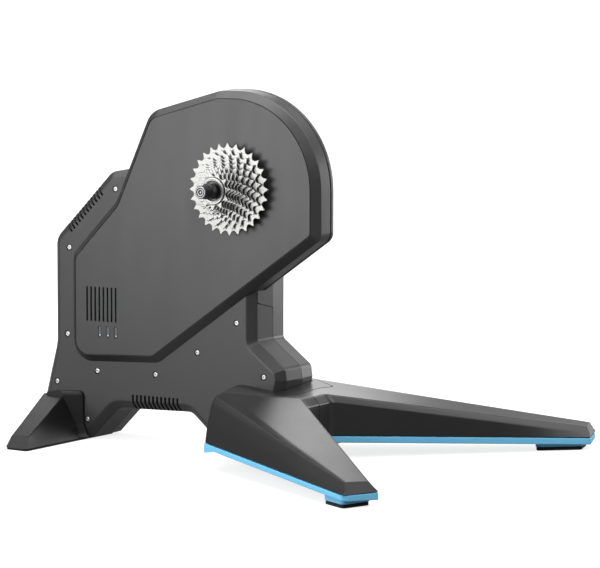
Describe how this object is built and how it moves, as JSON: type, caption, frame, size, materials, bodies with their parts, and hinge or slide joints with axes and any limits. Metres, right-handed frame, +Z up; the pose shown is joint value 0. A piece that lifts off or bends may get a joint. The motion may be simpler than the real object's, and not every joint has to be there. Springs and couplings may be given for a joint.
{
  "type": "direct drive bike trainer",
  "caption": "Direct drive bike trainer: a chamfered body with a belt cover round the axle and its cassette, standing on splayed front legs and a rear foot.",
  "frame": {"origin": "on the floor, at the middle of the footprint (bottom centre of the bounding box)", "axes": "+X towards the front of the bike, -Y towards its drive side, +Z up"},
  "size_m": [0.6829, 0.641, 0.464],
  "materials": {
    "shell_grey": "fine grained",
    "cover_grey": "fine grained",
    "dark_grey": "fine grained",
    "leg_grey": "satin",
    "base_blue": "satin",
    "rubber": "matte",
    "cast_metal": "cast",
    "steel": "turned",
    "sprocket_steel": "bright nickel plate",
    "screw_steel": "bright",
    "dark_steel": "oiled",
    "black_metal": "black anodised",
    "copper": "enamelled wire",
    "board_green": "laminate",
    "black_plastic": "satin",
    "clear_lens": "frosted"
  },
  "bodies": {
    "stand": {"axle": "steel", "belt_cover": "cover_grey", "body_screw_1": "screw_steel", "body_screw_10": "screw_steel", "body_screw_2": "screw_steel", "body_screw_3": "screw_steel", "body_screw_4": "screw_steel", "body_screw_5": "screw_steel", "body_screw_6": "screw_steel", "body_screw_7": "screw_steel", "body_screw_8": "screw_steel", "body_screw_9": "screw_steel", "brake_coil_1": "copper", "brake_coil_2": "copper", "brake_coil_3": "copper", "brake_coil_4": "copper", "brake_plate": "dark_steel", "control_board": "board_green", "cover_rim": "cover_grey", "drive_belt": "rubber", "drive_end_cap": "black_metal", "drive_side_base": "base_blue", "drive_side_leg": "leg_grey", "drive_side_pad": "rubber", "drive_side_shell": "shell_grey", "far_end_cap": "black_metal", "far_side_base": "base_blue", "far_side_leg": "leg_grey", "far_side_pad": "rubber", "far_side_shell": "shell_grey", "flywheel_bearing_drive": "steel", "flywheel_bearing_far": "steel", "head_back_cover": "dark_grey", "hub_cover": "leg_grey", "leg_hub": "cast_metal", "light_guide": "clear_lens", "main_frame": "cast_metal", "power_inlet": "black_plastic", "rear_foot": "dark_grey", "rear_pad": "rubber"},
    "cassette": {"freehub_body": "dark_steel", "lockring": "steel", "sprocket_11": "sprocket_steel", "sprocket_12": "sprocket_steel", "sprocket_13": "sprocket_steel", "sprocket_14": "sprocket_steel", "sprocket_15": "sprocket_steel", "sprocket_17": "sprocket_steel", "sprocket_19": "sprocket_steel", "sprocket_21": "sprocket_steel", "sprocket_24": "sprocket_steel", "sprocket_28": "sprocket_steel"},
    "pulley": {"drive_pulley": "cast_metal", "hub_bearing_drive": "steel", "hub_bearing_far": "steel"},
    "wheel": {"flywheel": "dark_steel", "flywheel_shaft": "steel", "small_pulley": "cast_metal"},
    "idler": {"idler_pulley": "dark_steel"}
  },
  "joints": [
    {"name": "cassette_spin", "type": "hinge", "parent": "stand", "child": "cassette", "pos_m": [-0.0325, 0, 0.3387], "axis": [0, 1, 0], "continuous": true},
    {"name": "flywheel_spin", "type": "hinge", "parent": "stand", "child": "wheel", "pos_m": [-0.18252, 0, 0.20999], "axis": [0, 1, 0], "continuous": true},
    {"name": "pulley_spin", "type": "hinge", "parent": "stand", "child": "pulley", "pos_m": [-0.0325, 0, 0.3387], "axis": [0, 1, 0], "continuous": true},
    {"name": "idler_spin", "type": "hinge", "parent": "stand", "child": "idler", "pos_m": [-0.08416, 0, 0.20118], "axis": [0, 1, 0], "continuous": true}
  ],
  "couplings": [
    {"joint": "pulley_spin", "follows": "flywheel_spin", "ratio": 0.21429},
    {"joint": "idler_spin", "follows": "flywheel_spin", "ratio": -1.5}
  ]
}
